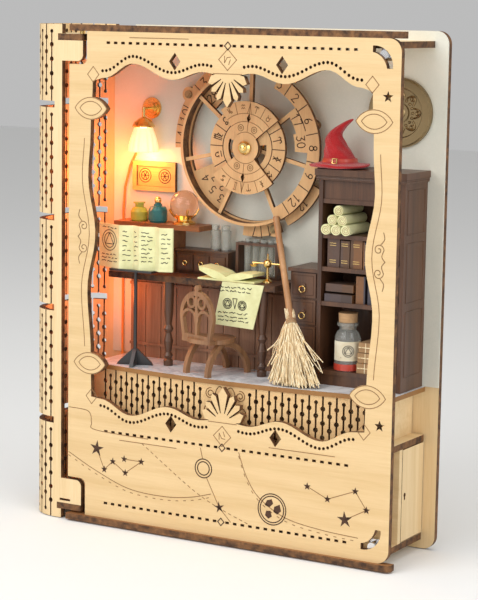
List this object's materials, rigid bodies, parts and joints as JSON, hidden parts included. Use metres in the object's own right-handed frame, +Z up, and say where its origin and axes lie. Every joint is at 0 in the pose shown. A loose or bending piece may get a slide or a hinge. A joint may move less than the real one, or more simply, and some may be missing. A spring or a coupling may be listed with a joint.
{
  "type": "book nook puzzle",
  "caption": "Book-shaped plywood diorama puzzle with a hinged window cover, a bent slotted spine, a sliding drawer and a coaxial decoder dial over a furnished study.",
  "frame": {"origin": "centre of the footprint on the table, at the level the book stands on", "axes": "+Z up along the height of the book, +X from the spine to the fore-edge, +Y from the window cover to the back cover"},
  "size_m": [0.201, 0.051, 0.24],
  "materials": {
    "birch_ply": "satin, laser-cut",
    "burnt_ply": "laser-burnt edge",
    "amber_ply": "satin, laser-cut",
    "walnut_ply": "dark stain",
    "red_ply": "reddish stain",
    "lining_card": "matt print",
    "floor_card": "satin marble print",
    "dial_ply": "satin, laser-cut",
    "brass": "polished",
    "old_brass": "antiqued",
    "steel": "bright",
    "black_metal": "semi-gloss black",
    "black_plastic": "moulded",
    "cell_skin": "gloss sleeve",
    "led": "warm, diffusing",
    "shade": "frosted",
    "wire_skin": "thin lacquer",
    "green_glass": "clear, tinted",
    "blue_glass": "clear, tinted",
    "amber_glass": "clear, pale amber",
    "clear_glass": "clear",
    "parchment": "matt print",
    "spines": "matt print",
    "cork": "raw cork",
    "kraft": "matt print",
    "raffia": "dry straw",
    "broom_stick": "satin",
    "red_felt": "felt"
  },
  "bodies": {
    "box": {"spine": "birch_ply", "back_cover": "amber_ply", "wall_lining": "lining_card", "top_board": "birch_ply", "bottom_board": "birch_ply", "base_walls": "birch_ply", "base_top": "birch_ply", "stage_floor": "floor_card", "railing": "birch_ply", "box_magnets": "steel", "wheel_axle": "brass", "axle_cap": "brass", "number_dial": "dial_ply", "dial_pins": "old_brass", "lamp_bracket": "brass", "lamp_shade": "shade", "lamp_led": "led", "lamp_wire": "wire_skin", "battery_box": "black_plastic", "battery_cells": "cell_skin", "wall_shelf": "red_ply", "picture_frame": "amber_ply", "green_bottle": "green_glass", "blue_bottle": "blue_glass", "crystal_ball": "amber_glass", "ball_stand": "brass", "music_stand": "black_metal", "music_pages": "parchment", "desk_top": "walnut_ply", "desk_legs": "walnut_ply", "desk_panels": "red_ply", "desk_drawers": "walnut_ply", "tube_rack": "walnut_ply", "test_tubes": "clear_glass", "brass_balance": "brass", "open_book": "parchment", "letter": "parchment", "chair": "walnut_ply", "drawer_chest": "walnut_ply", "broom_handle": "broom_stick", "broom_bristles": "raffia", "bookcase": "walnut_ply", "scrolls": "parchment", "books": "spines", "jar": "clear_glass", "jar_cork": "cork", "box_stack": "kraft", "wizard_hat": "red_felt", "medallion": "old_brass"},
    "cover": {"front_cover": "birch_ply", "cover_top_band": "burnt_ply", "cover_bottom_band": "burnt_ply", "cover_magnets": "steel", "hinge_pins": "brass"},
    "wheel": {"spoked_wheel": "dial_ply"},
    "symbol_disc": {"zodiac_disc": "dial_ply"},
    "pointer": {"pointer_disc": "dial_ply"},
    "drawer": {"drawer_front": "birch_ply", "drawer_tray": "birch_ply"},
    "switch": {"power_switch": "black_plastic"}
  },
  "joints": [
    {"name": "cover_hinge", "type": "hinge", "parent": "box", "child": "cover", "pos_m": [-0.071, -0.0185, 0], "axis": [0, 0, -1], "range_deg": [0, 95]},
    {"name": "wheel_turn", "type": "hinge", "parent": "box", "child": "wheel", "pos_m": [0.0032, 0.01, 0.1836], "axis": [0, -1, 0], "continuous": true},
    {"name": "symbol_turn", "type": "hinge", "parent": "box", "child": "symbol_disc", "pos_m": [0.0032, 0.01, 0.1836], "axis": [0, -1, 0], "continuous": true},
    {"name": "pointer_turn", "type": "hinge", "parent": "box", "child": "pointer", "pos_m": [0.0032, 0.01, 0.1836], "axis": [0, -1, 0], "continuous": true},
    {"name": "drawer_slide", "type": "slide", "parent": "box", "child": "drawer", "axis": [1, 0, 0], "range_m": [0, 0.08]},
    {"name": "switch_slide", "type": "slide", "parent": "box", "child": "switch", "axis": [1, 0, 0], "range_m": [0, 0.0034]}
  ]
}
